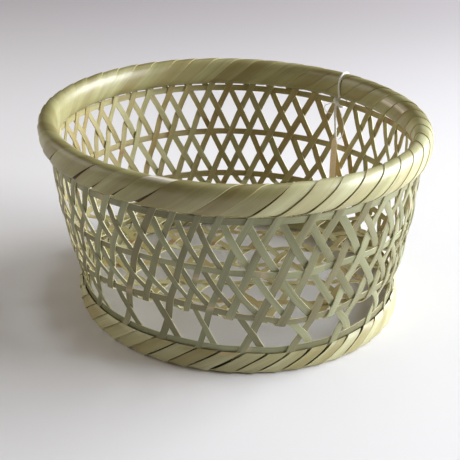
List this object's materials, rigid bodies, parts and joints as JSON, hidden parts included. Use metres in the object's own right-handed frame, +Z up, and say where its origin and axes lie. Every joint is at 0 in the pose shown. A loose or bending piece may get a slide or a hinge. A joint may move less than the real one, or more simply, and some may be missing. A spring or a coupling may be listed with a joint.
{
  "type": "dish draining basket",
  "caption": "Round woven split-bamboo bowl with a raised open-weave floor, wrapped rim and foot ring, and a small hanging tag, for draining dishes or food.",
  "frame": {"origin": "on the ground, under the middle of the rim", "axes": "+Z up out of the bowl, -Y towards the viewer of the picture, +X to the viewer's right"},
  "size_m": [0.2412, 0.241, 0.1246],
  "materials": {
    "bamboo_strip": "satin split green bamboo",
    "bamboo_hoop": "satin split green bamboo",
    "bamboo_core": "split bamboo, inner side",
    "bamboo_wrap": "glossy bamboo skin",
    "string": "white cotton string",
    "tag_card": "tan paper card, stood in for by fabric"
  },
  "bodies": {
    "basket": {"floor_strip_01": "bamboo_strip", "floor_strip_02": "bamboo_strip", "floor_strip_03": "bamboo_strip", "floor_strip_04": "bamboo_strip", "floor_strip_05": "bamboo_strip", "floor_strip_06": "bamboo_strip", "floor_strip_07": "bamboo_strip", "floor_strip_08": "bamboo_strip", "floor_strip_09": "bamboo_strip", "floor_strip_10": "bamboo_strip", "floor_strip_11": "bamboo_strip", "floor_strip_12": "bamboo_strip", "floor_strip_13": "bamboo_strip", "floor_strip_14": "bamboo_strip", "floor_strip_15": "bamboo_strip", "floor_strip_16": "bamboo_strip", "floor_strip_17": "bamboo_strip", "floor_strip_18": "bamboo_strip", "floor_strip_19": "bamboo_strip", "floor_strip_20": "bamboo_strip", "floor_strip_21": "bamboo_strip", "floor_strip_22": "bamboo_strip", "floor_strip_23": "bamboo_strip", "floor_strip_24": "bamboo_strip", "leg_pair_01": "bamboo_strip", "leg_pair_02": "bamboo_strip", "leg_pair_03": "bamboo_strip", "leg_pair_04": "bamboo_strip", "leg_pair_05": "bamboo_strip", "leg_pair_06": "bamboo_strip", "leg_pair_07": "bamboo_strip", "leg_pair_08": "bamboo_strip", "leg_pair_09": "bamboo_strip", "leg_pair_10": "bamboo_strip", "leg_pair_11": "bamboo_strip", "leg_pair_12": "bamboo_strip", "leg_pair_13": "bamboo_strip", "leg_pair_14": "bamboo_strip", "leg_pair_15": "bamboo_strip", "leg_pair_16": "bamboo_strip", "leg_pair_17": "bamboo_strip", "leg_pair_18": "bamboo_strip", "leg_pair_19": "bamboo_strip", "leg_pair_20": "bamboo_strip", "leg_pair_21": "bamboo_strip", "leg_pair_22": "bamboo_strip", "leg_pair_23": "bamboo_strip", "leg_pair_24": "bamboo_strip", "hoop_upper": "bamboo_hoop", "hoop_middle": "bamboo_hoop", "hoop_floor": "bamboo_hoop", "hoop_foot": "bamboo_hoop", "rim_hoop_inner": "bamboo_core", "rim_hoop_outer": "bamboo_core", "foot_core": "bamboo_core", "rim_wrap": "bamboo_wrap", "foot_wrap": "bamboo_wrap", "string_loop": "string"},
    "hang_tag": {"tag_string": "string", "tag": "tag_card"}
  },
  "joints": [
    {"name": "tag_swing", "type": "hinge", "parent": "basket", "child": "hang_tag", "pos_m": [0.06943, 0.08022, 0.1058], "axis": [-0.7593, 0.6508, 0], "range_deg": [0, 80]}
  ]
}
